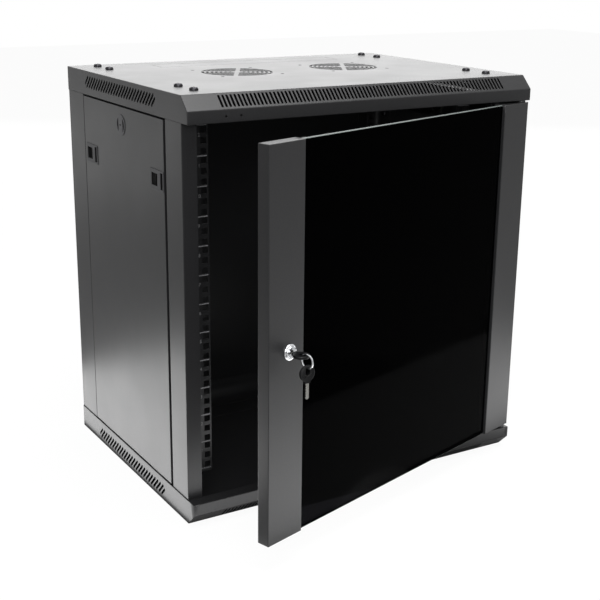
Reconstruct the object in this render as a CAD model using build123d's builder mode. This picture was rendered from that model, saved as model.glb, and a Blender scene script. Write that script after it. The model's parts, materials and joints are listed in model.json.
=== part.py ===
"""Wall-mount network rack cabinet, 12 units high, with its glazed door ajar.

The frame is in millimetres: the origin is on the floor under the middle of
the cabinet, +X is to the right seen from the front, +Y runs to the back and
+Z is up.  The door, the lock and the keys are drawn on planes that carry the
angle at which the door stands open.
"""

import os
from math import cos, radians, sin, sqrt, tan

from build123d import *

# ---------------------------------------------------------------- sizes

# Cabinet
cabinet_width = 600.0
cabinet_depth = 450.0
cabinet_height = 635.0
sheet = 1.2                     # steel sheet of the shell and the door
frame_sheet = 1.5               # steel sheet of the beams
rail_sheet = 2.0                # steel sheet of the mounting rails

# Top cap and base tray: the same folded pan, one of them turned over
pan_height = 38.0
pan_bevel = 20.0                # the front edge is cut at 45 degrees

# Vents
bevel_slot_pitch = 6.2
bevel_slot_width = 3.6
bevel_slot_length = 21.2
bevel_slot_margin = 52.0        # from the cabinet's side to the row of slots
side_slot_pitch = 10.0
side_slot_width = 4.4
side_slot_height = 20.0         # from the lowest to the highest point of a slot
side_slot_margin = 100.0        # plain sheet in front of and behind the slots, on average
side_slot_lean = 45.0
side_vent_y = 12.0              # middle of the side vents
side_vent_rise = 17.0           # middle of the side vents above the pan's floor
fan_spacing = 200.0             # between the two fan positions
fan_y = 25.0
fan_shift = 8.0                 # both fans sit a little right of the middle
fan_hole_spacing = 105.0        # 120 mm fan
fan_hole_radius = 3.0
grille_radius = 57.0
grille_pitch = 7.0
grille_slot = 4.4
grille_hub_radius = 8.0
grille_spoke = 7.0
grille_spoke_angle = 60.0
knockout_length = 340.0
knockout_depth = 45.0
knockout_slit = 0.8
knockout_bridge = 6.0
knockout_from_back = 63.0       # to the knock-out's middle
catch_hole_radius = 1.6         # two small holes in the cap's front lip
catch_hole_spacing = 23.0
catch_hole_from_side = 70.0
catch_hole_drop = 29.4          # below the cabinet's top

# Posts
post_setback = 21.8             # front posts behind the cabinet's front
post_front_flange = 23.3        # width of the flange that the door closes on
post_side_front = 52.2          # side face of a front post
post_side_rear = 62.8           # side face of a rear post
post_back_flange = 24.0
seat_depth = 14.0               # how far the side panel's seat lies behind the face
seat_lip = 14.0
tab_thickness = 2.0
tab_screw_from_side = 41.0
tab_screw_from_front = 88.0     # from the front to the middle of a pair of screws
tab_screw_from_back = 55.0
tab_screw_spacing = 50.0
tab_margin = 14.0

# Beams between the posts
seat_beam_height = 20.0
seat_beam_overlap = 14.0        # how far it reaches past the edge of the panel
seat_beam_shelf = 22.0
depth_beam_height = 26.0
depth_beam_rise = 54.0          # lowest beam above the bottom of the posts' opening
depth_beam_drop = 57.0          # highest beam below its top

# 19-inch mounting rails
unit_height = 44.45
first_unit_rise = 10.5          # first unit above the bottom of the opening
rack_from_side = 75.0           # from the cabinet's side to the space between the rails
hole_column_inset = 7.55        # from a rail's inner edge to its column of holes
square_hole = 9.5
hole_rise = (6.35, 22.225, 38.1)
rail_flange = 26.0
rail_leg = 40.0
rail_end = 6.0                  # rail beyond the first and last unit
rail_from_front = 89.0
rail_from_back = 103.0
rail_slot_length = 40.0

# Rear panel
wall_hole_from_side = 100.0
wall_hole_from_end = 59.5
wall_hole_radius = 4.5

# Screws and nuts
m6_radius = 3.0
m6_hole_radius = 3.3
m6_thread_gap = 0.05
m6_head_radius = 6.5
m6_head_height = 4.4
m6_head_round = 2.9
m6_recess_width = 1.2
m6_recess_depth = 1.5
m6_nut_width = 10.0
m6_nut_height = 5.0
cap_screw_length = 12.0
rail_bolt_length = 12.0
stud_height = 18.0
ground_stud_from_side = 85.0
ground_stud_from_back = 125.0

# Door
door_open_angle = 16.8
door_side_gap = 2.0             # door narrower than the cabinet, on each side
door_thickness = 20.0
door_bottom_gap = 5.0
door_top_gap = 3.0
hinge_overhang = 9.0            # door beyond the hinge axis
hinge_setback = 9.0             # hinge axis behind the door's front face
hinge_corner_radius = 2.5
hinge_corner_chamfer = 4.0
stile_width = 67.0
stile_back_flange = 14.0
glass_thickness = 5.0
glass_recess = 4.5
glass_gap = 0.4
glass_chamfer = 0.6
tape_thickness = 1.0
tape_width = 9.0
glass_flange = 12.0
pin_radius = 4.0
pin_gap = 0.05                  # running clearance round a hinge pin
pin_inside = 16.0
pin_chamfer = 0.8
bush_radius = 5.2
bush_collar_radius = 7.0
bush_collar_gap = 0.3
bush_depth = 3.0
bumper_radius = 4.0
bumper_gap = 0.3
bumper_inset = 40.0

# Door lock
lock_from_edge = 39.5
lock_drop = 2.9                 # lock below the middle of the door
lock_face_radius = 11.5
lock_face_depth = 4.5
lock_barrel_radius = 9.0
lock_barrel_length = 22.8
lock_plug_radius = 6.0
lock_plug_proud = 0.6
lock_running_gap = 0.05
lock_hole_gap = 0.3
lock_face_chamfer = 1.2
lock_nut_width = 23.0
lock_nut_height = 4.0
cam_thickness = 2.0
cam_width = 15.0
cam_length = 29.0
cam_gap = 0.5                   # between the barrel's end and the cam
cam_taper = 0.8
cam_screw_radius = 5.0
cam_screw_height = 2.6
cam_screw_shank = 2.0
cam_screw_grip = 5.4

# Keys
bow_radius = 11.5
bow_thickness = 4.0
bow_slot_length = 11.4
bow_slot_width = 6.8
bow_rim = 2.6
bow_round = 1.2
bow_stem_width = 9.0
bow_stem_length = 2.0
blade_width = 5.2
blade_thickness = 2.0
blade_length = 23.0
blade_root = 5.0
blade_gap = 0.2
blade_cuts = 5
blade_cut_start = 5.0
blade_cut_pitch = 3.6
blade_cut_size = 1.7
keyway_depth = 22.3
key_standoff = 2.4              # bow's stem in front of the plug's face
ring_radius = 9.6
ring_wire_radius = 1.4
ring_gap = 0.5
spare_key_turn = -14.0
spare_key_gap = 0.7             # slack of the turned key on the ring

# Side panels
panel_gap = 1.6                 # below and behind the panel
panel_gap_front = 7.0
panel_gap_top = 3.0
panel_return = 13.7
hook_width = 40.0
hook_drop = 10.0
hook_spacing = 200.0
hook_gap = 0.3

# Side panel latches
latch_drop = 91.5               # below the top of the panel's opening
latch_from_front = 30.6         # from the opening's front edge to the latch's middle
latch_from_back = 31.0
latch_plate_length = 46.0
latch_plate_height = 30.0
latch_plate_proud = 1.0
latch_body_length = 42.0
latch_body_height = 26.0
latch_body_depth = 7.0
latch_body_gap = 0.3
latch_pocket_offset = 8.0       # finger pocket towards the back
latch_pocket_length = 20.0
latch_pocket_height = 18.0
latch_slot_offset = 16.0        # narrow slot towards the front
latch_slot_length = 8.0
latch_slot_height = 24.0
latch_slot_depth = 5.0
latch_travel = 8.0
latch_floor = 1.2
slider_pad = 10.0
slider_gap = 0.3
slider_stem = 4.5
slider_stem_height = 9.0
slider_pad_recess = 1.5         # pad behind the panel's face
slider_tongue_height = 16.0
slider_tongue_thickness = 2.0
slider_lip_gap = 0.4            # tongue behind the post's lip
slider_rest_gap = 0.6           # tongue's tip short of the lip when drawn back

# Side panel locks
panel_lock_drop = 30.0          # below the top of the panel's opening
panel_lock_face_radius = 16.0
panel_lock_face_proud = 1.0
panel_lock_housing_radius = 14.0
panel_lock_housing_depth = 6.0
panel_lock_pocket_radius = 13.0     # two finger pockets with an upright bar between them
panel_lock_pocket_depth = 4.0       # behind the panel's face
panel_lock_bar_width = 15.4
panel_lock_barrel_radius = 9.0
panel_lock_plug_radius = 6.5
panel_lock_cam_length = 24.0
panel_lock_nut_width = 34.0
panel_lock_nut_height = 3.5
panel_lock_cam_width = 11.0
panel_lock_keyway_depth = 3.0

# ------------------------------------------------- places that follow

half_width = cabinet_width / 2
front_y = -cabinet_depth / 2
back_y = cabinet_depth / 2
body_half = half_width - sheet                  # outer faces of posts and panels
body_bottom = pan_height                        # the door and the panels start here
body_top = cabinet_height - pan_height
bevel_inset = sheet * tan(radians(22.5))
bevel_slot_count = round((cabinet_width - 2 * bevel_slot_margin) / bevel_slot_pitch)
side_slot_count = round((cabinet_depth - 2 * side_slot_margin) / side_slot_pitch)
knockout_y = back_y - knockout_from_back
catch_hole_x = -half_width + catch_hole_from_side
catch_hole_z = cabinet_height - catch_hole_drop
post_front_y = front_y + post_setback           # front face of the front posts
tab_screw_x = half_width - tab_screw_from_side
tab_screw_front_y = front_y + tab_screw_from_front
tab_screw_rear_y = back_y - tab_screw_from_back
seat_x = body_half - seat_depth                 # outer face of the panels' seat
seat_inner_x = seat_x - sheet
opening_front_y = post_front_y + post_side_front
opening_rear_y = back_y - sheet - post_side_rear
post_back_y = back_y - sheet                    # back face of the rear posts
rack_opening = cabinet_width - 2 * rack_from_side
hole_column = rack_opening + 2 * hole_column_inset
beam_web_x = rack_opening / 2 + rail_flange     # inner face of the depth beams
depth_beam_levels = (body_bottom + depth_beam_rise, cabinet_height / 2,
                     body_top - depth_beam_drop)
rail_front_y = front_y + rail_from_front
rail_rear_y = back_y - rail_from_back
first_unit_z = body_bottom + first_unit_rise
unit_count = int((body_top - first_unit_z) / unit_height)
rail_bottom = first_unit_z - rail_end
rail_top = first_unit_z + unit_count * unit_height + rail_end
screw_rows = (tab_screw_front_y, tab_screw_rear_y)
ground_stud_x = ground_stud_from_side - half_width
ground_stud_y = back_y - ground_stud_from_back

door_width = cabinet_width - 2 * door_side_gap
hinge_x = half_width - door_side_gap - hinge_overhang
hinge_y = front_y + hinge_setback
door_bottom = body_bottom + door_bottom_gap
door_top = body_top - door_top_gap
door_height = door_top - door_bottom
open_angle = radians(door_open_angle)
door_right = (cos(open_angle), sin(open_angle), 0)
door_outward = (sin(open_angle), -cos(open_angle), 0)
door_floor = Plane(origin=(hinge_x, hinge_y, 0), x_dir=door_right, z_dir=(0, 0, 1))
door_left_x = hinge_overhang - door_width
stile_inner_left = door_left_x + stile_width
stile_inner_right = hinge_overhang - stile_width
door_front = -hinge_setback                     # front face, seen from the hinge axis
door_back = door_front + door_thickness
glass_front = door_front + glass_recess
glass_back = glass_front + glass_thickness
flange_front = glass_back + tape_thickness


def save(piece, name):
    """Label a finished piece and write it as its own STEP file."""
    piece.part.label = name
    export_step(piece.part, f"parts/{name}.step")


def folded_sheet(plane, points, thickness, side):
    """Section of a sheet folded along points, thick to one side of them."""
    with BuildSketch(plane) as section:
        with BuildLine():
            Polyline(*points)
            offset(amount=thickness, side=side, kind=Kind.INTERSECTION)
        make_face()
    return section.sketch


def screw_places():
    """Plan positions of the screws that hold the cap and the base."""
    places = []
    for x in (-tab_screw_x, tab_screw_x):
        for row in screw_rows:
            for step in (-tab_screw_spacing / 2, tab_screw_spacing / 2):
                places.append((x, row + step))
    return places


os.makedirs("parts", exist_ok=True)

# ------------------------------------------------- top cap and base tray


def pan_outline(floor_z, up):
    """Outside of the pan, from the front lip round to the back."""
    points = [
        (front_y, pan_height),
        (front_y, pan_bevel),
        (front_y + pan_bevel, 0),
        (back_y, 0),
        (back_y, pan_height),
    ]
    return [(y, floor_z + up * z) for y, z in points]


def pan_hollow(floor_z, up):
    """Inside of the pan, leaving the front lip's return as a shelf."""
    points = [
        (front_y + sheet, pan_height - sheet),
        (front_y + sheet, pan_bevel + bevel_inset),
        (front_y + pan_bevel + bevel_inset, sheet),
        (back_y - sheet, sheet),
        (back_y - sheet, pan_height),
        (post_front_y, pan_height),
        (post_front_y, pan_height - sheet),
    ]
    return [(y, floor_z + up * z) for y, z in points]


def outline_on(plane, points):
    """Face inside a closed run of straight edges."""
    with BuildSketch(plane) as section:
        with BuildLine():
            Polyline(*points, close=True)
        make_face()
    return section.sketch


def bevel_slots(floor_z, up):
    """A row of straight slots along the bevelled front edge."""
    middle = (0, front_y + pan_bevel / 2, floor_z + up * pan_bevel / 2)
    face = Plane(origin=middle, x_dir=(1, 0, 0), z_dir=(0, -1, -up))
    with BuildSketch(face) as slots:
        with GridLocations(bevel_slot_pitch, 1, bevel_slot_count, 1):
            SlotOverall(bevel_slot_length, bevel_slot_width, rotation=90)
    return slots.sketch


def side_slots(floor_z, up):
    """Leaning slots seen from the side, with a short one at each end."""
    lean = radians(side_slot_lean)
    reach = side_slot_height - side_slot_width
    full = reach / sin(lean) + side_slot_width
    short_reach = reach - side_slot_pitch * tan(lean) / 2
    short = short_reach / sin(lean) + side_slot_width
    shift = (reach - short_reach) / 2
    row_z = floor_z + up * side_vent_rise
    end = (side_slot_count + 1) / 2 * side_slot_pitch - shift / tan(lean)
    with BuildSketch(Plane.YZ) as slots:
        with Locations((side_vent_y, row_z)):
            with GridLocations(side_slot_pitch, 1, side_slot_count, 1):
                SlotOverall(full, side_slot_width, rotation=180 - side_slot_lean)
        for way in (-1, 1):
            with Locations((side_vent_y + way * end, row_z + way * shift)):
                SlotOverall(short, side_slot_width, rotation=180 - side_slot_lean)
    return slots.sketch


def cable_knockout(level):
    """The slit round a plate that is pushed out to let cables in."""
    with BuildSketch(Plane.XY.offset(level)) as slit:
        with Locations((0, knockout_y)):
            Rectangle(knockout_length, knockout_depth)
            Rectangle(knockout_length - 2 * knockout_slit, knockout_depth - 2 * knockout_slit,
                      mode=Mode.SUBTRACT)
            with GridLocations(knockout_length / 2, 1, 2, 1):
                Rectangle(knockout_bridge, knockout_depth + sheet, mode=Mode.SUBTRACT)
    return slit.sketch


def round_holes(level, places, radius):
    """Round holes at plan positions on one level."""
    with BuildSketch(Plane.XY.offset(level)) as holes:
        with Locations(*places):
            Circle(radius)
    return holes.sketch


def fan_grilles(level):
    """Rings of slots, crossed by four spokes, over the two fan positions."""
    outer = grille_radius - grille_slot
    ring_count = int((outer - grille_hub_radius) / grille_pitch) + 1
    with BuildSketch(Plane.XY.offset(level)) as grilles:
        with Locations((fan_shift - fan_spacing / 2, fan_y), (fan_shift + fan_spacing / 2, fan_y)):
            for ring in range(ring_count):
                Circle(outer - ring * grille_pitch + grille_slot)
                Circle(outer - ring * grille_pitch, mode=Mode.SUBTRACT)
            for turn in (0, 90):
                Rectangle(2 * grille_radius + grille_slot, grille_spoke,
                          rotation=grille_spoke_angle + turn, mode=Mode.SUBTRACT)
            with GridLocations(fan_hole_spacing, fan_hole_spacing, 2, 2):
                Circle(fan_hole_radius)
    return grilles.sketch


def vented_pan(floor_z, up, screw_hole):
    """The folded pan with its vents, knock-out and screw holes."""
    lip_level = floor_z + up * pan_height
    cut = 2 * sheet
    with BuildPart() as pan:
        extrude(outline_on(Plane.YZ, pan_outline(floor_z, up)), amount=half_width, both=True)
        extrude(outline_on(Plane.YZ, pan_hollow(floor_z, up)), amount=body_half, both=True,
                mode=Mode.SUBTRACT)
        extrude(bevel_slots(floor_z, up), amount=cut, both=True, mode=Mode.SUBTRACT)
        extrude(side_slots(floor_z, up), amount=half_width + cut, both=True, mode=Mode.SUBTRACT)
        extrude(cable_knockout(floor_z), amount=cut, both=True, mode=Mode.SUBTRACT)
        extrude(round_holes(floor_z, screw_places(), screw_hole), amount=cut, both=True,
                mode=Mode.SUBTRACT)
        extrude(round_holes(lip_level, [(hinge_x, hinge_y)], bush_radius), amount=cut, both=True,
                mode=Mode.SUBTRACT)
    return pan.part


with BuildPart() as top_cap:
    add(vented_pan(cabinet_height, -1, m6_hole_radius))
    extrude(fan_grilles(cabinet_height), amount=2 * sheet, both=True, mode=Mode.SUBTRACT)
    with BuildSketch(Plane(origin=(catch_hole_x, front_y, catch_hole_z),
                           x_dir=(1, 0, 0), z_dir=(0, -1, 0))) as catch_holes:
        with GridLocations(catch_hole_spacing, 1, 2, 1):
            Circle(catch_hole_radius)
    extrude(catch_holes.sketch, amount=2 * sheet, both=True, mode=Mode.SUBTRACT)
save(top_cap, "top_cap")

with BuildPart() as base_tray:
    add(vented_pan(0, 1, m6_radius + m6_thread_gap))
save(base_tray, "base_tray")

# ------------------------------------------------------------ frame


def post_tabs(row_y):
    """Feet at both ends of a left post, which take the frame screws."""
    inner_x = -tab_screw_x + tab_margin
    with BuildSketch(Plane.XY) as tab:
        with Locations(((inner_x - body_half) / 2, row_y)):
            Rectangle(body_half + inner_x, tab_screw_spacing + 2 * tab_margin)
        with Locations((-tab_screw_x, row_y)):
            with GridLocations(1, tab_screw_spacing, 1, 2):
                Circle(m6_hole_radius, mode=Mode.SUBTRACT)
    with BuildPart() as tabs:
        for level in (sheet, cabinet_height - sheet - tab_thickness):
            extrude(tab.sketch.moved(Location((0, 0, level))), amount=tab_thickness)
    return tabs.part


with BuildPart() as front_left_post:
    extrude(folded_sheet(Plane.XY.offset(sheet), [
        (-body_half + post_front_flange, post_front_y),
        (-body_half, post_front_y),
        (-body_half, opening_front_y),
        (-seat_x, opening_front_y),
        (-seat_x, opening_front_y + seat_lip),
    ], sheet, Side.RIGHT), amount=cabinet_height - 2 * sheet)
    add(post_tabs(tab_screw_front_y))
save(front_left_post, "front_left_post")

with BuildPart() as front_right_post:
    mirror(front_left_post.part, about=Plane.YZ)
save(front_right_post, "front_right_post")

with BuildPart() as rear_left_post:
    extrude(folded_sheet(Plane.XY.offset(sheet), [
        (-seat_x, opening_rear_y - seat_lip),
        (-seat_x, opening_rear_y),
        (-body_half, opening_rear_y),
        (-body_half, post_back_y),
        (-body_half + post_back_flange, post_back_y),
    ], sheet, Side.RIGHT), amount=cabinet_height - 2 * sheet)
    add(post_tabs(tab_screw_rear_y))
save(rear_left_post, "rear_left_post")

with BuildPart() as rear_right_post:
    mirror(rear_left_post.part, about=Plane.YZ)
save(rear_right_post, "rear_right_post")

beam_span = opening_rear_y - opening_front_y


def seat_beam(edge_z, up):
    """L-section beam that the long edge of a side panel closes against."""
    tip_z = edge_z - up * seat_beam_overlap
    shelf_z = tip_z + up * seat_beam_height
    return folded_sheet(Plane.XZ.offset(-(opening_rear_y - seat_lip)), [
        (-seat_x, tip_z),
        (-seat_x, shelf_z),
        (-seat_x + seat_beam_shelf, shelf_z),
    ], sheet, Side.RIGHT if up > 0 else Side.LEFT)


with BuildPart() as panel_seat_beams:
    for edge_z, up in ((body_top, 1), (body_bottom, -1)):
        extrude(seat_beam(edge_z, up), amount=beam_span - 2 * seat_lip)
    mirror(about=Plane.YZ)
save(panel_seat_beams, "panel_seat_beams")

with BuildPart() as depth_beams:
    for level in depth_beam_levels:
        top = level + depth_beam_height / 2
        bottom = level - depth_beam_height / 2
        extrude(folded_sheet(Plane.XZ.offset(-(opening_rear_y - sheet)), [
            (-seat_inner_x, top),
            (-beam_web_x, top),
            (-beam_web_x, bottom),
            (-seat_inner_x, bottom),
        ], frame_sheet, Side.RIGHT), amount=beam_span - 2 * sheet)
        with BuildSketch(Plane.YZ.offset(-beam_web_x)) as slots:
            with Locations((rail_front_y + rail_leg / 2, level), (rail_rear_y - rail_leg / 2, level)):
                SlotOverall(rail_slot_length, 2 * m6_hole_radius)
        extrude(slots.sketch, amount=2 * frame_sheet, both=True, mode=Mode.SUBTRACT)
    mirror(about=Plane.YZ)
save(depth_beams, "depth_beams")


def rail(face_y, back):
    """Left mounting rail; back is 1 when its leg runs to the back."""
    inner_x = -rack_opening / 2
    section = folded_sheet(Plane.XY.offset(rail_bottom), [
        (inner_x, face_y),
        (-beam_web_x, face_y),
        (-beam_web_x, face_y + back * rail_leg),
    ], rail_sheet, Side.RIGHT if back > 0 else Side.LEFT)
    with BuildSketch(Plane.XZ.offset(-face_y)) as square_holes:
        for unit in range(unit_count):
            for rise in hole_rise:
                with Locations((-hole_column / 2, first_unit_z + unit * unit_height + rise)):
                    Rectangle(square_hole, square_hole)
    with BuildSketch(Plane.YZ.offset(-beam_web_x)) as bolt_holes:
        for level in depth_beam_levels:
            with Locations((face_y + back * rail_leg / 2, level)):
                Circle(m6_hole_radius)
    with BuildPart() as left_rail:
        extrude(section, amount=rail_top - rail_bottom)
        extrude(square_holes.sketch, amount=2 * rail_sheet, both=True, mode=Mode.SUBTRACT)
        extrude(bolt_holes.sketch, amount=2 * rail_sheet, both=True, mode=Mode.SUBTRACT)
    return left_rail.part


with BuildPart() as front_left_rail:
    add(rail(rail_front_y, 1))
save(front_left_rail, "front_left_rail")

with BuildPart() as front_right_rail:
    mirror(front_left_rail.part, about=Plane.YZ)
save(front_right_rail, "front_right_rail")

with BuildPart() as rear_left_rail:
    add(rail(rail_rear_y, -1))
save(rear_left_rail, "rear_left_rail")

with BuildPart() as rear_right_rail:
    mirror(rear_left_rail.part, about=Plane.YZ)
save(rear_right_rail, "rear_right_rail")

with BuildPart() as rear_panel:
    with BuildSketch(Plane.XZ.offset(-back_y)):
        with Locations((0, cabinet_height / 2)):
            Rectangle(2 * body_half, body_top - body_bottom)
            with GridLocations(cabinet_width - 2 * wall_hole_from_side,
                               body_top - body_bottom - 2 * wall_hole_from_end, 2, 2):
                Circle(wall_hole_radius, mode=Mode.SUBTRACT)
    extrude(amount=sheet)
save(rear_panel, "rear_panel")

# ------------------------------------------------------ screws and nuts


def pan_screw(length):
    """Pan-head M6 screw, head up, with its seat at the origin."""
    with BuildPart() as screw:
        Cylinder(m6_head_radius, m6_head_height, align=(Align.CENTER, Align.CENTER, Align.MIN))
        fillet(screw.faces().sort_by(Axis.Z)[-1].edges(), m6_head_round)
        with BuildSketch(Plane.XY.offset(m6_head_height)):
            for turn in (0, 90):
                Rectangle(m6_head_radius, m6_recess_width, rotation=turn)
        extrude(amount=-m6_recess_depth, mode=Mode.SUBTRACT)
        Cylinder(m6_radius, length, align=(Align.CENTER, Align.CENTER, Align.MAX))
    return screw.part


def hex_nut(width, bore, height):
    """Hexagon nut standing on the origin."""
    with BuildPart() as nut:
        with BuildSketch(Plane.XY):
            RegularPolygon(width / 2, 6, major_radius=False)
            Circle(bore, mode=Mode.SUBTRACT)
        extrude(amount=height)
    return nut.part


def placed(piece, places):
    """Copies of a piece, one at each place."""
    return [piece.moved(place) for place in places]


m6_nut = hex_nut(m6_nut_width, m6_radius + m6_thread_gap, m6_nut_height)
tab_top = sheet + tab_thickness
over = Rotation(180, 0, 0)

with BuildPart() as cap_screws:
    add(placed(pan_screw(cap_screw_length), [Pos(x, y, cabinet_height) for x, y in screw_places()]))
save(cap_screws, "cap_screws")

with BuildPart() as cap_nuts:
    add(placed(m6_nut, [Pos(x, y, cabinet_height - tab_top) * over for x, y in screw_places()]))
save(cap_nuts, "cap_nuts")

with BuildPart() as base_screws:
    add(placed(pan_screw(tab_top), [Pos(x, y, tab_top) for x, y in screw_places()]))
save(base_screws, "base_screws")


def rail_bolt_places(seat_x_left):
    """Places of the rail bolts, with their heads towards the middle."""
    places = []
    for middle_y in (rail_front_y + rail_leg / 2, rail_rear_y - rail_leg / 2):
        for level in depth_beam_levels:
            places.append(Pos(-seat_x_left, middle_y, level) * Rotation(0, 90, 0))
            places.append(Pos(seat_x_left, middle_y, level) * Rotation(0, -90, 0))
    return places


with BuildPart() as rail_bolts:
    add(placed(pan_screw(rail_bolt_length), rail_bolt_places(beam_web_x - rail_sheet)))
save(rail_bolts, "rail_bolts")

with BuildPart() as rail_nuts:
    add(placed(m6_nut.moved(over), rail_bolt_places(beam_web_x + frame_sheet)))
save(rail_nuts, "rail_nuts")

with BuildPart() as ground_stud:
    with BuildSketch(Plane.XY.offset(sheet)):
        with Locations((ground_stud_x, ground_stud_y)):
            Circle(m6_radius)
    extrude(amount=stud_height)
save(ground_stud, "ground_stud")

with BuildPart() as ground_nut:
    add(m6_nut.moved(Pos(ground_stud_x, ground_stud_y, sheet)))
save(ground_nut, "ground_nut")


def hinge_bush(seat_z, up):
    """Flanged plastic bush that a hinge pin turns in; its collar faces the door."""
    collar = -up
    with BuildPart() as bush:
        with BuildSketch(Plane.XY.offset(seat_z)):
            with Locations((hinge_x, hinge_y)):
                Circle(bush_radius - pin_gap)
        extrude(amount=up * (sheet + bush_depth))
        with BuildSketch(Plane.XY.offset(seat_z)):
            with Locations((hinge_x, hinge_y)):
                Circle(bush_collar_radius)
        gap = door_top_gap if up > 0 else door_bottom_gap
        extrude(amount=collar * (gap - bush_collar_gap))
        with BuildSketch(Plane.XY.offset(seat_z)):
            with Locations((hinge_x, hinge_y)):
                Circle(pin_radius + pin_gap)
        extrude(amount=2 * pan_height, both=True, mode=Mode.SUBTRACT)
    return bush.part


with BuildPart() as hinge_bushes:
    add(hinge_bush(body_top, 1))
    add(hinge_bush(body_bottom, -1))
save(hinge_bushes, "hinge_bushes")

# ------------------------------------------------------------- door


def stile(points, side, end_outline):
    """Upright of the door: a folded channel closed by a plate at each end."""
    with BuildPart() as upright:
        extrude(folded_sheet(door_floor.offset(door_bottom), points, sheet, side),
                amount=door_height)
        extrude(outline_on(door_floor.offset(door_bottom), end_outline), amount=sheet)
        extrude(outline_on(door_floor.offset(door_top), end_outline), amount=-sheet)
    return upright.part


lock_z = (door_bottom + door_top) / 2 - lock_drop
lock_plane = Plane(origin=door_floor.from_local_coords((door_left_x + lock_from_edge,
                                                        door_front, lock_z)),
                   x_dir=door_right, z_dir=door_outward)

with BuildPart() as door_lock_stile:
    add(stile([
        (door_left_x + stile_back_flange, door_back),
        (door_left_x, door_back),
        (door_left_x, door_front),
        (stile_inner_left, door_front),
        (stile_inner_left, flange_front),
        (stile_inner_left + glass_flange, flange_front),
    ], Side.LEFT, [
        (door_left_x, door_back),
        (door_left_x, door_front),
        (stile_inner_left, door_front),
        (stile_inner_left, door_back),
    ]))
    with BuildSketch(lock_plane) as barrel_hole:
        Circle(lock_barrel_radius + lock_hole_gap)
    extrude(barrel_hole.sketch, amount=2 * sheet, both=True, mode=Mode.SUBTRACT)
save(door_lock_stile, "door_lock_stile")

with BuildPart() as door_hinge_stile:
    add(stile([
        (hinge_overhang - stile_back_flange, door_back),
        (hinge_overhang - hinge_corner_chamfer, door_back),
        (hinge_overhang, door_back - hinge_corner_chamfer),
        (hinge_overhang, door_front),
        (stile_inner_right, door_front),
        (stile_inner_right, flange_front),
        (stile_inner_right - glass_flange, flange_front),
    ], Side.RIGHT, [
        (stile_inner_right, door_back),
        (hinge_overhang - hinge_corner_chamfer, door_back),
        (hinge_overhang, door_back - hinge_corner_chamfer),
        (hinge_overhang, door_front),
        (stile_inner_right, door_front),
    ]))
    corner = door_floor.from_local_coords((hinge_overhang, door_front, 0))
    uprights = door_hinge_stile.edges().filter_by(Axis.Z)
    outer_edge = uprights.sort_by(lambda edge: (edge.center().X - corner.X) ** 2
                                  + (edge.center().Y - corner.Y) ** 2)[0]
    fillet(outer_edge, hinge_corner_radius)
    with BuildSketch(door_floor.offset(door_bottom)) as pin_hole:
        Circle(pin_radius + pin_gap)
    extrude(pin_hole.sketch, amount=door_height, mode=Mode.SUBTRACT)
save(door_hinge_stile, "door_hinge_stile")

with BuildPart() as door_glass:
    extrude(outline_on(door_floor.offset(door_bottom), [
        (stile_inner_left + glass_gap, glass_front),
        (stile_inner_right - glass_gap, glass_front),
        (stile_inner_right - glass_gap, glass_back),
        (stile_inner_left + glass_gap, glass_back),
    ]), amount=door_height)
    chamfer(door_glass.edges().filter_by(Axis.Z, reverse=True).filter_by(GeomType.LINE)
            .group_by(Edge.length)[-1], glass_chamfer)
save(door_glass, "door_glass")


def tape_outline(edge_x, inward):
    """Plan of a bonding strip just inside an edge of the glass."""
    near = edge_x + inward * (glass_gap + glass_chamfer)
    far = near + inward * tape_width
    return [(near, glass_back), (far, glass_back), (far, flange_front), (near, flange_front)]


with BuildPart() as glass_bonding_strips:
    for edge_x, inward in ((stile_inner_left, 1), (stile_inner_right, -1)):
        extrude(outline_on(door_floor.offset(door_bottom + tape_width),
                           tape_outline(edge_x, inward)),
                amount=door_height - 2 * tape_width)
save(glass_bonding_strips, "glass_bonding_strips")

with BuildPart() as door_hinge_pins:
    for start, end in ((door_bottom + pin_inside, body_bottom - sheet - bush_depth),
                       (door_top - pin_inside, body_top + sheet + bush_depth)):
        with BuildSketch(door_floor.offset(start)) as pin:
            Circle(pin_radius)
        extrude(pin.sketch, amount=end - start)
    chamfer(door_hinge_pins.edges().filter_by(GeomType.CIRCLE), pin_chamfer)
save(door_hinge_pins, "door_hinge_pins")

with BuildPart() as door_bumpers:
    bumper_height = post_front_y - front_y - door_thickness - bumper_gap
    bumper_plane = Plane(origin=door_floor.from_local_coords((0, door_back, 0)),
                         x_dir=door_right, z_dir=door_outward)
    with BuildSketch(bumper_plane) as bumpers:
        with Locations((door_left_x + stile_back_flange / 2, (door_bottom + door_top) / 2)):
            with GridLocations(1, door_height - 2 * bumper_inset, 1, 2):
                Circle(bumper_radius)
    extrude(bumpers.sketch, amount=-bumper_height)
save(door_bumpers, "door_bumpers")

# -------------------------------------------------------- door lock

cam_level = -(lock_barrel_length + cam_gap)
plug_face = lock_face_depth + lock_plug_proud
cam_screw_hole = cam_screw_shank + lock_running_gap

with BuildPart() as lock_housing:
    with BuildSketch(lock_plane) as face:
        Circle(lock_face_radius)
    extrude(face.sketch, amount=lock_face_depth)
    chamfer(lock_housing.edges().filter_by(GeomType.CIRCLE).sort_by(
        lambda edge: -lock_plane.to_local_coords(edge.center()).Z)[0], lock_face_chamfer)
    with BuildSketch(lock_plane) as barrel:
        Circle(lock_barrel_radius)
    extrude(barrel.sketch, amount=-lock_barrel_length)
    with BuildSketch(lock_plane.offset(lock_face_depth)) as bore:
        Circle(lock_plug_radius + lock_running_gap)
    extrude(bore.sketch, amount=-(lock_face_depth + lock_barrel_length), mode=Mode.SUBTRACT)
save(lock_housing, "lock_housing")

with BuildPart() as lock_nut:
    add(hex_nut(lock_nut_width, lock_barrel_radius + lock_running_gap, lock_nut_height)
        .moved(lock_plane.offset(-sheet - lock_nut_height).location))
save(lock_nut, "lock_nut")

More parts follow.
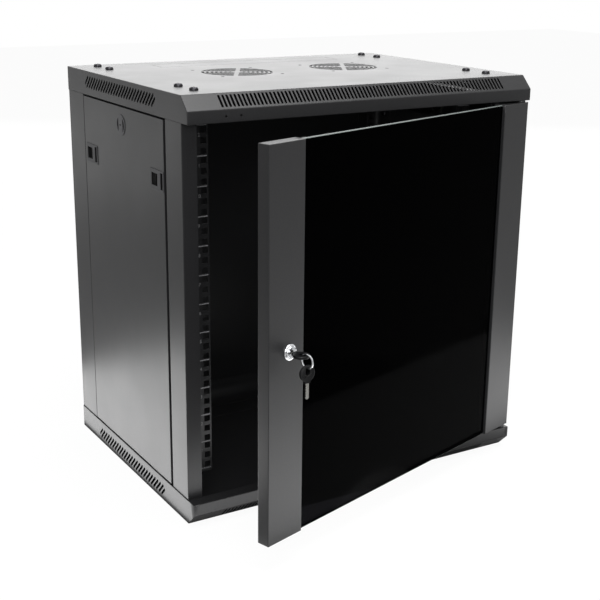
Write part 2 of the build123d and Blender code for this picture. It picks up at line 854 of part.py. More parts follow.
with BuildPart() as lock_plug:
    with BuildSketch(lock_plane.offset(plug_face)) as plug:
        Circle(lock_plug_radius)
    extrude(plug.sketch, amount=cam_level - plug_face)
    with BuildSketch(lock_plane.offset(plug_face)) as keyway:
        Rectangle(blade_width + 2 * blade_gap, blade_thickness + 2 * blade_gap)
    extrude(keyway.sketch, amount=-keyway_depth, mode=Mode.SUBTRACT)
    with BuildSketch(lock_plane.offset(cam_level)) as tapped:
        Circle(cam_screw_hole)
    extrude(tapped.sketch, amount=cam_screw_grip, mode=Mode.SUBTRACT)
save(lock_plug, "lock_plug")


def cam_outline(plane, length, width, turn):
    """Flat lever with a round hub; turn 0 points along the plane's x."""
    with BuildSketch(plane) as cam:
        Circle(width / 2)
        with Locations(Rotation(0, 0, turn) * Pos(length / 2, 0)):
            Rectangle(length, width * cam_taper)
    return cam.sketch


with BuildPart() as lock_cam:
    extrude(cam_outline(lock_plane.offset(cam_level), cam_length, cam_width, -90),
            amount=-cam_thickness)
    with BuildSketch(lock_plane.offset(cam_level)) as cam_hole:
        Circle(cam_screw_hole)
    extrude(cam_hole.sketch, amount=-cam_thickness, mode=Mode.SUBTRACT)
save(lock_cam, "lock_cam")

with BuildPart() as cam_screw:
    with BuildSketch(lock_plane.offset(cam_level - cam_thickness)) as head:
        Circle(cam_screw_radius)
    extrude(head.sketch, amount=-cam_screw_height)
    with BuildSketch(lock_plane.offset(cam_level - cam_thickness)) as shank:
        Circle(cam_screw_shank)
    extrude(shank.sketch, amount=cam_thickness + cam_screw_grip - lock_running_gap)
save(cam_screw, "cam_screw")

# ------------------------------------------------------------- keys

bow_distance = plug_face + key_standoff + bow_stem_length + bow_radius
slot_middle = bow_radius - bow_rim - bow_slot_length / 2
stem_end = bow_radius + bow_stem_length


def key_bow(plane):
    """Moulded bow; the plane's x runs from the blade out through the slot."""
    with BuildPart() as bow:
        with BuildSketch(plane.offset(-bow_thickness / 2)) as outline:
            Circle(bow_radius)
            with Locations((-stem_end / 2, 0)):
                Rectangle(stem_end, bow_stem_width)
            with Locations((slot_middle, 0)):
                SlotOverall(bow_slot_length, bow_slot_width, mode=Mode.SUBTRACT)
        extrude(outline.sketch, amount=bow_thickness)
        rims = bow.edges().filter_by(GeomType.CIRCLE).group_by(lambda edge: edge.radius)[-1]
        fillet(rims, bow_round)
        with BuildSketch(plane.offset(-blade_thickness / 2)) as root:
            with Locations((-stem_end + blade_root / 2, 0)):
                Rectangle(blade_root, blade_width)
        extrude(root.sketch, amount=blade_thickness, mode=Mode.SUBTRACT)
    return bow.part


def key_blade(plane):
    """Flat steel blade with a cut edge, held in the bow by its root."""
    tip = -stem_end - blade_length
    with BuildPart() as blade:
        with BuildSketch(plane.offset(-blade_thickness / 2)) as flat:
            with BuildLine():
                Polyline((-stem_end + blade_root, blade_width / 2),
                         (tip + blade_width / 3, blade_width / 2),
                         (tip, 0),
                         (tip + blade_width / 3, -blade_width / 2),
                         (-stem_end + blade_root, -blade_width / 2),
                         close=True)
            make_face()
            for cut in range(blade_cuts):
                with Locations((tip + blade_cut_start + cut * blade_cut_pitch, blade_width / 2)):
                    Rectangle(blade_cut_size, blade_cut_size, rotation=45, mode=Mode.SUBTRACT)
        extrude(flat.sketch, amount=blade_thickness)
    return blade.part


door_key_plane = Plane(origin=lock_plane.from_local_coords((0, 0, bow_distance)),
                       x_dir=door_outward, z_dir=(0, 0, 1))
ring_reach = ring_radius - ring_wire_radius - ring_gap
ring_drop = sqrt(ring_reach ** 2 - (bow_rim / 2) ** 2) - bow_thickness / 2
ring_distance = bow_distance + bow_radius - bow_rim / 2
wire_rise = ring_radius - sqrt(ring_radius ** 2 - (bow_thickness / 2) ** 2)
spare_drop = (ring_drop + ring_radius + bow_radius - bow_rim
              - ring_wire_radius - wire_rise - spare_key_gap)
spare_key_plane = Plane(origin=lock_plane.from_local_coords((0, -spare_drop, ring_distance)),
                        x_dir=(0, 0, 1),
                        z_dir=Vector(*door_outward).rotate(Axis.Z, spare_key_turn))

with BuildPart() as key_bow_inserted:
    add(key_bow(door_key_plane))
save(key_bow_inserted, "key_bow")

with BuildPart() as key_blade_inserted:
    add(key_blade(door_key_plane))
save(key_blade_inserted, "key_blade")

with BuildPart() as key_ring:
    ring_centre = lock_plane.from_local_coords((0, -ring_drop, ring_distance))
    with Locations(Plane(origin=ring_centre, x_dir=(0, 0, 1),
                         z_dir=door_right)):
        Torus(ring_radius, ring_wire_radius)
save(key_ring, "key_ring")

with BuildPart() as spare_key_bow:
    add(key_bow(spare_key_plane))
save(spare_key_bow, "spare_key_bow")

with BuildPart() as spare_key_blade:
    add(key_blade(spare_key_plane))
save(spare_key_blade, "spare_key_blade")

# ------------------------------------------------------ side panels

face_plane = Plane.YZ.offset(-body_half)        # outer face of the left panel
panel_front_y = opening_front_y + panel_gap_front
panel_rear_y = opening_rear_y - panel_gap
panel_middle_y = (panel_front_y + panel_rear_y) / 2
panel_length = panel_rear_y - panel_front_y
panel_bottom = body_bottom + panel_gap
panel_height = body_top - panel_gap_top - panel_bottom
panel_middle_z = panel_bottom + panel_height / 2
tongue_level = body_half - seat_inner_x + slider_lip_gap     # behind the panel's face
latch_front_y = opening_front_y + latch_from_front
latch_rear_y = opening_rear_y - latch_from_back
latch_z = body_top - latch_drop
latch_places = ((latch_front_y, -1), (latch_rear_y, 1))
latch_middles = [(y, latch_z) for y, way in latch_places]
panel_lock_place = (panel_middle_y, body_top - panel_lock_drop)


def rectangles(level, places, length, height):
    """Rectangles at places on a plane set back from the panel's face."""
    with BuildSketch(face_plane.offset(level)) as shapes:
        with Locations(*places):
            Rectangle(length, height)
    return shapes.sketch


def discs(level, places, radius):
    """Discs at places on a plane set back from the panel's face."""
    with BuildSketch(face_plane.offset(level)) as shapes:
        with Locations(*places):
            Circle(radius)
    return shapes.sketch


with BuildPart() as left_side_panel:
    middle = [(panel_middle_y, panel_middle_z)]
    extrude(rectangles(0, middle, panel_length, panel_height), amount=panel_return)
    extrude(rectangles(sheet, middle, panel_length - 2 * sheet, panel_height - 2 * sheet),
            amount=panel_return, mode=Mode.SUBTRACT)
    hook_places = [(panel_middle_y + way * hook_spacing / 2, panel_bottom) for way in (-1, 1)]
    extrude(rectangles(hook_gap, hook_places, hook_width, 2 * hook_drop), amount=sheet)
    extrude(rectangles(0, latch_middles, latch_body_length + 2 * latch_body_gap,
                       latch_body_height + 2 * latch_body_gap),
            amount=sheet, mode=Mode.SUBTRACT)
    extrude(discs(0, [panel_lock_place], panel_lock_housing_radius + latch_body_gap),
            amount=sheet, mode=Mode.SUBTRACT)
save(left_side_panel, "left_side_panel")

pocket_middles = [(y + latch_pocket_offset, latch_z) for y, way in latch_places]
slot_middles = [(y - latch_slot_offset, latch_z) for y, way in latch_places]
pocket_floor = latch_body_depth - latch_floor
pad_shift = latch_pocket_length / 2 - slider_pad / 2 - slider_gap


def pad_middle(latch_y, way):
    """Middle of a finger pad that is drawn back."""
    return latch_y + latch_pocket_offset - way * pad_shift


with BuildPart() as left_latch_housings:
    extrude(rectangles(0, latch_middles, latch_plate_length, latch_plate_height),
            amount=-latch_plate_proud)
    extrude(rectangles(0, latch_middles, latch_body_length, latch_body_height),
            amount=latch_body_depth)
    extrude(rectangles(-latch_plate_proud, pocket_middles,
                       latch_pocket_length, latch_pocket_height),
            amount=latch_plate_proud + pocket_floor, mode=Mode.SUBTRACT)
    extrude(rectangles(-latch_plate_proud, slot_middles, latch_slot_length, latch_slot_height),
            amount=latch_plate_proud + latch_slot_depth, mode=Mode.SUBTRACT)
    stem_paths = [(pad_middle(y, way) + way * latch_travel / 2, latch_z)
                  for y, way in latch_places]
    extrude(rectangles(0, stem_paths, slider_stem + latch_travel + 2 * slider_gap,
                       slider_stem_height + 2 * slider_gap),
            amount=latch_body_depth, mode=Mode.SUBTRACT)
save(left_latch_housings, "left_latch_housings")


def latch_slider(latch_y, way):
    """Finger pad, stem and tongue in one; way points towards the post's lip."""
    lip_edge = (opening_rear_y - seat_lip) if way > 0 else (opening_front_y + seat_lip)
    pad_y = pad_middle(latch_y, way)
    tip = lip_edge - way * slider_rest_gap
    heel = pad_y - way * slider_stem / 2
    with BuildPart() as slider:
        extrude(rectangles(slider_pad_recess, [(pad_y, latch_z)], slider_pad,
                           latch_pocket_height - 2 * slider_gap),
                amount=pocket_floor - slider_gap - slider_pad_recess)
        extrude(rectangles(slider_pad_recess, [(pad_y, latch_z)], slider_stem,
                           slider_stem_height),
                amount=tongue_level - slider_pad_recess)
        extrude(rectangles(tongue_level, [((tip + heel) / 2, latch_z)], abs(tip - heel),
                           slider_tongue_height),
                amount=slider_tongue_thickness)
    return slider.part


with BuildPart() as left_front_latch:
    add(latch_slider(latch_front_y, -1))
save(left_front_latch, "left_front_latch")

with BuildPart() as left_rear_latch:
    add(latch_slider(latch_rear_y, 1))
save(left_rear_latch, "left_rear_latch")

with BuildPart() as left_panel_lock:
    extrude(discs(0, [panel_lock_place], panel_lock_face_radius),
            amount=-panel_lock_face_proud)
    extrude(discs(0, [panel_lock_place], panel_lock_housing_radius),
            amount=panel_lock_housing_depth)
    extrude(discs(0, [panel_lock_place], panel_lock_barrel_radius),
            amount=tongue_level - slider_gap)
    with BuildSketch(face_plane.offset(-panel_lock_face_proud)) as pockets:
        with Locations(panel_lock_place):
            Circle(panel_lock_pocket_radius)
            Rectangle(panel_lock_bar_width, 2 * panel_lock_pocket_radius, mode=Mode.SUBTRACT)
    extrude(pockets.sketch, amount=panel_lock_face_proud + panel_lock_pocket_depth,
            mode=Mode.SUBTRACT)
    extrude(discs(-panel_lock_face_proud, [panel_lock_place],
                  panel_lock_plug_radius + lock_running_gap),
            amount=tongue_level + panel_lock_face_proud, mode=Mode.SUBTRACT)
save(left_panel_lock, "left_panel_lock")

with BuildPart() as left_panel_lock_nut:
    with BuildSketch(face_plane.offset(sheet)) as nut:
        with Locations(panel_lock_place):
            RegularPolygon(panel_lock_nut_width / 2, 6, major_radius=False)
            Circle(panel_lock_housing_radius + lock_running_gap, mode=Mode.SUBTRACT)
    extrude(nut.sketch, amount=panel_lock_nut_height)
save(left_panel_lock_nut, "left_panel_lock_nut")

with BuildPart() as left_panel_lock_plug:
    extrude(discs(-panel_lock_face_proud, [panel_lock_place], panel_lock_plug_radius),
            amount=panel_lock_face_proud + tongue_level)
    extrude(rectangles(-panel_lock_face_proud, [panel_lock_place],
                       blade_width, blade_thickness),
            amount=panel_lock_keyway_depth, mode=Mode.SUBTRACT)
save(left_panel_lock_plug, "left_panel_lock_plug")

with BuildPart() as left_panel_lock_cam:
    with BuildSketch(face_plane.offset(tongue_level)) as cam:
        with Locations(panel_lock_place):
            Circle(panel_lock_plug_radius)
            with Locations((-panel_lock_cam_length / 2, 0)):
                Rectangle(panel_lock_cam_length, panel_lock_cam_width)
    extrude(cam.sketch, amount=slider_tongue_thickness)
save(left_panel_lock_cam, "left_panel_lock_cam")

mirrored_pieces = {
    "right_side_panel": left_side_panel,
    "right_latch_housings": left_latch_housings,
    "right_front_latch": left_front_latch,
    "right_rear_latch": left_rear_latch,
    "right_panel_lock": left_panel_lock,
    "right_panel_lock_nut": left_panel_lock_nut,
    "right_panel_lock_plug": left_panel_lock_plug,
    "right_panel_lock_cam": left_panel_lock_cam,
}
for name, left_piece in mirrored_pieces.items():
    with BuildPart() as right_piece:
        mirror(left_piece.part, about=Plane.YZ)
    save(right_piece, name)
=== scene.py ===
# %% [markdown]
# # A wall-mount network cabinet in black powder-coated steel
#
# The cabinet is a box of folded sheet steel for 19-inch equipment. A glass door stands ajar at
# the front, a panel closes each side, and two round grilles in the top wait for fans.
# Its shape and its joints come from a solid model, which is loaded first and never moved.
# What this script adds is the finish: rounded folds, printed marks, a split ring and recessed
# key bows, the materials, the light and the camera. Everything is in metres, +Z is up and the
# door is on the -Y side.

# %% Load the solid model
import json
import math

import bmesh
import bpy
from mathutils import Matrix, Quaternion, Vector


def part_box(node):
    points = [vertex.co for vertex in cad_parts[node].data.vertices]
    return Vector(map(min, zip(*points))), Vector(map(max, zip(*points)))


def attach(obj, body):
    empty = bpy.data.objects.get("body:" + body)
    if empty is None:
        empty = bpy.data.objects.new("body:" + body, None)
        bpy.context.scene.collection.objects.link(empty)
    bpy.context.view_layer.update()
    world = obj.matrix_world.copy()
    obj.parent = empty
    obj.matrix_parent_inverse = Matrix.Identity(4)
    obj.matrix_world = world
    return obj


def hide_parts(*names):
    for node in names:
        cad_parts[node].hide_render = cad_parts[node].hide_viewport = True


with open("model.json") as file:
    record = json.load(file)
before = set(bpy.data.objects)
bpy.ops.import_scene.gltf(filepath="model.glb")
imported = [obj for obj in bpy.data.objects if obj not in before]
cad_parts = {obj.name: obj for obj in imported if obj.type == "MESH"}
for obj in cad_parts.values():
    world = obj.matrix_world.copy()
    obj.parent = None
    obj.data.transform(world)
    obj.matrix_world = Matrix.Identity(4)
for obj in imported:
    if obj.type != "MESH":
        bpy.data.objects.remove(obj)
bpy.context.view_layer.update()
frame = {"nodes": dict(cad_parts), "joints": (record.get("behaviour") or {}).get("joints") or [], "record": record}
nodes = frame["nodes"]
joints = {joint["name"]: joint for joint in frame["joints"]}
body_of_node = {node: body for body, names in frame["record"]["behaviour"]["bodies"].items()
                for node in names}
slot_of_node = {part["node"]: part["material_slot"] for part in frame["record"]["subparts"]}

# %% [markdown]
# ## Units
#
# A maker gives sizes in millimetres, while Blender works in metres. One small function turns
# one into the other. A second one gives a pattern's scale from the size of one of its
# features, because a noise texture's scale counts features per metre. Equipment for a rack
# is measured in rack units, and so are the rails.


# %% Millimetres
def mm(length):
    """Millimetres to metres."""
    return length / 1000


def per_metre(feature_mm):
    """Scale of a texture whose features are so many millimetres across."""
    return 1000 / feature_mm


UNIT = mm(44.45)
print("one rack unit is", UNIT, "m")

# %% [markdown]
# ## Colours and nodes
#
# Colours are written as sRGB hex values, as a paint chart or a colour picker gives them. The
# renderer adds up light, so it needs the linear value, which this function works out.
# Another small function adds a shader node, sets its values and joins its inputs.


# %% Helpers for materials
def linear(hex_colour):
    """Linear RGBA of an sRGB colour such as '#808080'."""
    channels = [int(hex_colour[i:i + 2], 16) / 255 for i in (1, 3, 5)]
    return [c / 12.92 if c <= 0.04045 else ((c + 0.055) / 1.055) ** 2.4 for c in channels] + [1]


def add_node(tree, kind, inputs=None, **settings):
    """Adds a node; inputs are values or the output sockets to link from."""
    node = tree.nodes.new(kind)
    for name, value in settings.items():
        setattr(node, name, value)
    for name, value in (inputs or {}).items():
        if isinstance(value, bpy.types.NodeSocket):
            tree.links.new(value, node.inputs[name])
        else:
            node.inputs[name].default_value = value
    return node


def start_material(name):
    """A new material with its shader and its object coordinates."""
    material = bpy.data.materials.new(name)
    material.use_nodes = True
    tree = material.node_tree
    shader = tree.nodes["Principled BSDF"]
    place = add_node(tree, "ShaderNodeTexCoord").outputs["Object"]
    return material, tree, shader, place


def set_shader(shader, **values):
    """Plain numbers and colours go straight onto the shader's own sockets."""
    names = {"colour": "Base Color", "metallic": "Metallic", "ior": "IOR",
             "specular": "Specular IOR Level", "transmission": "Transmission Weight"}
    for name, value in values.items():
        shader.inputs[names[name]].default_value = value


def noise(tree, place, feature_mm, detail=2.0, rough=0.5):
    """Factor of a noise texture whose features are so many millimetres across."""
    return add_node(tree, "ShaderNodeTexNoise", {
        "Vector": place, "Scale": per_metre(feature_mm), "Detail": detail,
        "Roughness": rough}).outputs["Fac"]


def between(tree, factor, low, high, from_low=0.3, from_high=0.7):
    """A number that follows a factor from low to high."""
    return add_node(tree, "ShaderNodeMapRange", {
        "Value": factor, "From Min": from_low, "From Max": from_high,
        "To Min": low, "To Max": high}).outputs["Result"]


def blend_colours(tree, factor, first, second):
    """A colour that goes from the first to the second with a factor."""
    mix = add_node(tree, "ShaderNodeMix", data_type="RGBA")
    for socket, value in (("Factor_Float", factor), ("A_Color", first), ("B_Color", second)):
        slot = next(s for s in mix.inputs if s.identifier == socket)
        if isinstance(value, bpy.types.NodeSocket):
            tree.links.new(value, slot)
        else:
            slot.default_value = value
    return next(s for s in mix.outputs if s.identifier == "Result_Color")


def bump(tree, shader, height, depth_mm, strength, normal=None):
    """Gives the shader a relief of a stated depth."""
    inputs = {"Height": height, "Distance": mm(depth_mm), "Strength": strength}
    if normal is not None:
        inputs["Normal"] = normal
    relief = add_node(tree, "ShaderNodeBump", inputs).outputs["Normal"]
    tree.links.new(relief, shader.inputs["Normal"])
    return relief


print("a middle grey is", round(linear("#808080")[0], 4), "in linear light")

# %% [markdown]
# ## Black powder coat
#
# The sheets are coated with a dry polyester powder that melts in an oven. It sets as a tough
# satin skin with a fine grain, so a lamp gives a broad soft sheen instead of a mirror
# image. The real grain is about 0.4 mm, too fine to show here, so it is drawn coarser.
# Slow changes in the gloss stand for handling, and the folded edges, where the skin is
# thinnest and rubs first, are a little lighter and smoother.

# %% Powder-coated steel
GRAIN_MM = 1.6                  # drawn coarse; real grain is about 0.4 mm
ORANGE_PEEL_MM = 5.0
HANDLING_MM = 90.0
EDGE_RUB_MM = 0.4


def powder_coat(name, colour, rubbed, roughness):
    """Satin textured paint, rubbed lighter along its edges."""
    material, tree, shader, place = start_material(name)
    set_shader(shader, ior=1.5, specular=0.3)
    grain = noise(tree, place, GRAIN_MM, detail=3.0, rough=0.6)
    peel = noise(tree, place, ORANGE_PEEL_MM, detail=2.0)
    handling = noise(tree, place, HANDLING_MM, detail=4.0, rough=0.55)
    rounded = add_node(tree, "ShaderNodeBevel", {"Radius": mm(EDGE_RUB_MM)}, samples=4)
    flat = add_node(tree, "ShaderNodeNewGeometry").outputs["Normal"]
    turned = add_node(tree, "ShaderNodeVectorMath", operation="DOT_PRODUCT")
    tree.links.new(rounded.outputs["Normal"], turned.inputs[0])
    tree.links.new(flat, turned.inputs[1])
    edge = between(tree, turned.outputs["Value"], 1.0, 0.0, from_low=0.80, from_high=0.99)
    worn_here = between(tree, handling, 0.25, 0.9)
    rub = add_node(tree, "ShaderNodeMath", operation="MULTIPLY")
    tree.links.new(edge, rub.inputs[0])
    tree.links.new(worn_here, rub.inputs[1])
    speckled = blend_colours(tree, between(tree, grain, 0.0, 1.0), linear(colour[0]),
                             linear(colour[1]))
    paint = blend_colours(tree, rub.outputs["Value"], speckled, linear(rubbed))
    tree.links.new(paint, shader.inputs["Base Color"])
    gloss = between(tree, handling, roughness - 0.02, roughness + 0.02)
    tree.links.new(gloss, shader.inputs["Roughness"])
    first = bump(tree, shader, peel, 0.05, 0.35, rounded.outputs["Normal"])
    bump(tree, shader, grain, 0.03, 0.5, first)
    return material


POWDER_COAT = powder_coat("black powder-coated steel", ("#141415", "#1e1e1f"), "#303032", 0.38)
print(POWDER_COAT.name, "has", len(POWDER_COAT.node_tree.nodes), "nodes")

# %% [markdown]
# ## Metals of the small parts
#
# Screws are black zinc-plated, nuts and the lock's inner parts bright zinc-plated, and the
# lock's face and the ring chromed. Plating copies the surface under it: zinc stays slightly
# cloudy, chrome is polished until only hairlines remain. The keys' blades are stamped from
# nickel-plated brass. The hairlines are a fine noise, drawn out along the upright.

# %% Plated steel
HAIRLINE_STRETCH = 0.12         # of the noise's scale, along the upright


def plated(name, colours, roughness, cloud_mm, hairline_mm, hairline_depth):
    """Plated metal: cloudy in colour and gloss, with hairlines from polishing."""
    material, tree, shader, place = start_material(name)
    set_shader(shader, metallic=1.0)
    cloud = noise(tree, place, cloud_mm, detail=3.0)
    tint = blend_colours(tree, between(tree, cloud, 0.0, 1.0), linear(colours[0]),
                         linear(colours[1]))
    tree.links.new(tint, shader.inputs["Base Color"])
    tree.links.new(between(tree, cloud, roughness[0], roughness[1]), shader.inputs["Roughness"])
    drawn = add_node(tree, "ShaderNodeMapping", {"Vector": place,
                                                "Scale": (1, 1, HAIRLINE_STRETCH)})
    lines = noise(tree, drawn.outputs["Vector"], hairline_mm, detail=2.0)
    bump(tree, shader, lines, hairline_depth, 0.5)
    return material


CHROME = plated("polished chrome plating", ("#d9dadc", "#c4c6c9"), (0.06, 0.13), 6.0, 0.5, 0.004)
ZINC = plated("bright zinc-plated steel", ("#b4b8bd", "#a3a699"), (0.26, 0.40), 4.0, 0.6, 0.01)
BLACK_ZINC = plated("black zinc-plated steel", ("#2e2e31", "#3b3a3c"), (0.30, 0.42), 3.0, 0.6,
                    0.01)
NICKEL = plated("nickel-plated key brass", ("#a9a8a4", "#93918c"), (0.20, 0.30), 5.0, 0.4, 0.01)
print("metals:", CHROME.name, "/", ZINC.name, "/", BLACK_ZINC.name, "/", NICKEL.name)

# %% [markdown]
# ## Moulded plastic, rubber and foam
#
# Latches, bushes and key bows are moulded in black plastic. The mould is spark-eroded, which
# leaves a fine even grain and hides scratches. The door's bumpers are soft rubber, duller
# than plastic, and the tape that holds the glass is black foam with small cells.

# %% Plastic, rubber and foam
FLOW_MM = 14.0                  # slow changes of tone, left by the flow in the mould


def moulded(name, colours, roughness, grain_mm, depth_mm, specular=0.5):
    """Even grained polymer with a faint change of gloss."""
    material, tree, shader, place = start_material(name)
    set_shader(shader, ior=1.46, specular=specular)
    grain = noise(tree, place, grain_mm, detail=2.0)
    flow = noise(tree, place, FLOW_MM, detail=2.0)
    tint = blend_colours(tree, between(tree, flow, 0.0, 1.0), linear(colours[0]),
                         linear(colours[1]))
    tree.links.new(tint, shader.inputs["Base Color"])
    tree.links.new(between(tree, flow, roughness[0], roughness[1]), shader.inputs["Roughness"])
    bump(tree, shader, grain, depth_mm, 0.6)
    return material


LATCH_PLASTIC = moulded("spark-eroded black nylon", ("#252527", "#2e2e30"), (0.50, 0.62), 0.9,
                        0.03)
# The lock's plastic is the latch nylon made lighter: a painted highlight on the lock's face.
HIGHLIGHTED_LOCK_PLASTIC = moulded("spark-eroded nylon, lightened as painted highlight", ("#303032", "#3a3a3c"), (0.50, 0.62), 0.9,
                       0.03)
# Near-black as painted shade for the floors of pockets and what lies in them; the rough finish is real.
POCKET_SHADE_PLASTIC = moulded("rough black nylon, darkened as painted shade", ("#080808", "#0c0c0d"), (0.80, 0.92), 0.9, 0.05,
                         0.15)
BOW_PLASTIC = moulded("moulded black ABS", ("#0b0b0c", "#101011"), (0.30, 0.40), 1.2, 0.02,
                      0.15)
RUBBER = moulded("black bumper rubber", ("#151515", "#1b1b1b"), (0.70, 0.82), 0.8, 0.03, 0.3)
FOAM = moulded("black closed-cell foam tape", ("#111111", "#191919"), (0.85, 0.95), 0.7, 0.15,
               0.2)
print("polymers:", LATCH_PLASTIC.name, "/", HIGHLIGHTED_LOCK_PLASTIC.name, "/", POCKET_SHADE_PLASTIC.name, "/",
      BOW_PLASTIC.name, "/", RUBBER.name, "/", FOAM.name)

# %% [markdown]
# ## Tinted glass and printed marks
#
# The door's pane is toughened glass, tinted so dark that the inside only shows when it is
# lit. Its faces are polished, and a polarising filter before the lens takes away what they
# mirror, as it does near 56 degrees, so the pane gets a low index. Its edges are ground to a
# matt silvery band, which catches the light as a thin line. The unit marks on the rails are
# silk-screened in light grey ink, thin enough to break up over the textured paint.

# %% Glass and ink
POLARISED_IOR = 1.03            # stands for glass of 1.5 seen through a polarising filter
SMEAR_MM = 120.0
GRIT_MM = 0.8
INK_BREAK_MM = 1.0

PANE, pane_tree, pane_shader, pane_place = start_material("dark tinted toughened glass")
set_shader(pane_shader, colour=linear("#060607"), ior=POLARISED_IOR, transmission=0.9)
smears = noise(pane_tree, pane_place, SMEAR_MM, detail=5.0, rough=0.6)
pane_tree.links.new(between(pane_tree, smears, 0.02, 0.09), pane_shader.inputs["Roughness"])

GROUND_EDGE, edge_tree, edge_shader, edge_place = start_material("ground glass edge")
set_shader(edge_shader, ior=1.5, specular=0.5)
grit = noise(edge_tree, edge_place, GRIT_MM, detail=2.0)
edge_tint = blend_colours(edge_tree, between(edge_tree, grit, 0.0, 1.0), linear("#484e4c"),
                          linear("#5e6462"))
edge_tree.links.new(edge_tint, edge_shader.inputs["Base Color"])
edge_tree.links.new(between(edge_tree, grit, 0.35, 0.55), edge_shader.inputs["Roughness"])
bump(edge_tree, edge_shader, grit, 0.02, 0.5)

INK, ink_tree, ink_shader, ink_place = start_material("silk-screened grey ink")
set_shader(ink_shader, ior=1.5, specular=0.4)
breaks = noise(ink_tree, ink_place, INK_BREAK_MM, detail=3.0)
ink_tint = blend_colours(ink_tree, between(ink_tree, breaks, 0.0, 1.0, 0.36, 0.5),
                         linear("#3c3c3e"), linear("#6c6c6e"))
ink_tree.links.new(ink_tint, ink_shader.inputs["Base Color"])
ink_tree.links.new(between(ink_tree, breaks, 0.55, 0.7), ink_shader.inputs["Roughness"])
print("glass:", PANE.name, "/", GROUND_EDGE.name, "- ink:", INK.name)

# %% [markdown]
# ## A finish for each slot
#
# Each part of the solid model names the finish it takes, such as chrome or rubber. This
# table says which of the materials above stands for it.

# %% Finishes
FINISHES = {
    "black_powder_coat": POWDER_COAT, "black_screw_steel": BLACK_ZINC,
    "zinc_plated_steel": ZINC, "chrome": CHROME, "key_steel": NICKEL,
    "key_plastic": BOW_PLASTIC, "black_plastic": LATCH_PLASTIC, "rubber": RUBBER,
    "foam_tape": FOAM, "tinted_glass": PANE,
}
print(len(FINISHES), "slots have a finish")

# %% [markdown]
# ## Finishing a mesh
#
# Every new piece ends the same way: doubles merged, faces turned outwards, shaded smooth
# with its sharp edges kept, and given its finish. The shading leans towards the larger of
# two faces that meet, so a narrow rounded edge doesn't make a flat sheet look bulged. The
# piece rides on the body of the solid it belongs to, and replaces it where it stands for it.


# %% Turn a bmesh into a piece
SMOOTH_BELOW = math.radians(38)
MERGE_DISTANCE = mm(0.001)      # points closer than this are one point
made = []


def finish_piece(name, work, slot, body, replaces=(), materials=None, smooth=True):
    """Makes an object from a bmesh, at the origin, riding on a body."""
    bmesh.ops.remove_doubles(work, verts=work.verts, dist=MERGE_DISTANCE)
    bmesh.ops.recalc_face_normals(work, faces=work.faces)
    mesh = bpy.data.meshes.new(name)
    work.to_mesh(mesh)
    work.free()
    for material in materials or [FINISHES[slot]]:
        mesh.materials.append(material)
    if smooth:
        mesh.shade_smooth()
    mesh.set_sharp_from_angle(angle=SMOOTH_BELOW)
    piece = bpy.data.objects.new(name, mesh)
    weighted = piece.modifiers.new("flat faces stay flat", "WEIGHTED_NORMAL")
    weighted.mode = "FACE_AREA"
    weighted.weight = 100
    weighted.keep_sharp = True
    bpy.context.scene.collection.objects.link(piece)
    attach(piece, body)
    if replaces:
        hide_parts(*replaces)
    made.append(piece)
    return piece


print("edges sharper than", round(math.degrees(SMOOTH_BELOW)), "degrees stay crisp")

# %% [markdown]
# ## Rounded folds
#
# A sheet folded in a press brake has a radius of about its own thickness outside each
# bend, and a cut edge is only slightly broken. A solid model with knife-sharp corners gives
# no highlight there, which is what makes a model look like a model. The mesh of each
# folded piece is copied, its triangles dissolved back into flat faces, and its long
# folds are bevelled wide and its thin cut edges bevelled narrow. Before that the long
# edges are divided and the flat faces are filled with well-shaped triangles, because a
# bevel spreads along the long thin ones that a vented face has. Short edges, such as those
# of the vents, stay as they are.

# %% Copy a folded sheet and round its edges
FOLD_RADIUS = mm(1.0)
FOLD_STEPS = 3
CUT_EDGE_RADIUS = mm(0.25)
CUT_EDGE_STEPS = 2
SHEET_LIMIT = mm(2.6)           # a face narrower than this is a cut edge
LONG_EDGE = mm(18)
SHARP_TURN = math.radians(25)
ONE_PLANE = math.radians(1)     # triangles that turn less than this belong to one flat face
STRAIGHT = math.radians(0.5)    # an edge that turns less than this lies inside a flat face
DIVISION = mm(12)               # long edges are divided into pieces of about this length


def face_width(face):
    """Area of a face over its longest edge."""
    return face.calc_area() / max(edge.calc_length() for edge in face.edges)


def outward_corners(work, shortest):
    """Edges of at least a length that stand out, not the ones in a hollow corner."""
    return [edge for edge in work.edges
            if len(edge.link_faces) == 2 and edge.calc_length() > shortest
            and edge.calc_face_angle_signed(0) > SHARP_TURN]


def lay_flat(work):
    """Every face shaded as a plane."""
    for face in work.faces:
        face.smooth = False


def flattened(node):
    """The node's mesh with its triangles dissolved back into flat faces."""
    work = bmesh.new()
    work.from_mesh(nodes[node].data)
    bmesh.ops.remove_doubles(work, verts=work.verts, dist=MERGE_DISTANCE)
    bmesh.ops.dissolve_limit(work, verts=work.verts, edges=work.edges,
                             angle_limit=ONE_PLANE)
    return work


def round_off(work, edges, radius, segments):
    """Bevels those of the edges that are still there; only the new strips are smooth."""
    left = [edge for edge in edges if edge.is_valid]
    if left:
        strips = bmesh.ops.bevel(work, geom=left, offset=radius, offset_type="OFFSET",
                                 segments=segments, profile=0.5, affect="EDGES",
                                 material=-1, clamp_overlap=True)
        for face in strips["faces"]:
            face.smooth = True


def divided(edge):
    """The edge as a row of shorter edges."""
    pieces = []
    for left in range(math.ceil(edge.calc_length() / DIVISION), 1, -1):
        other = bmesh.utils.edge_split(edge, edge.verts[0], 1 / left)[0]
        piece, edge = sorted((edge, other), key=lambda half: half.calc_length())
        pieces.append(piece)
    return pieces + [edge]


def fill_evenly(work):
    """Triangles whose shared edges are turned where that gives better shapes."""
    bmesh.ops.triangulate(work, faces=work.faces)
    inner = [edge for edge in work.edges
             if len(edge.link_faces) == 2 and edge.calc_face_angle() < STRAIGHT]
    bmesh.ops.beautify_fill(work, faces=work.faces, edges=inner)


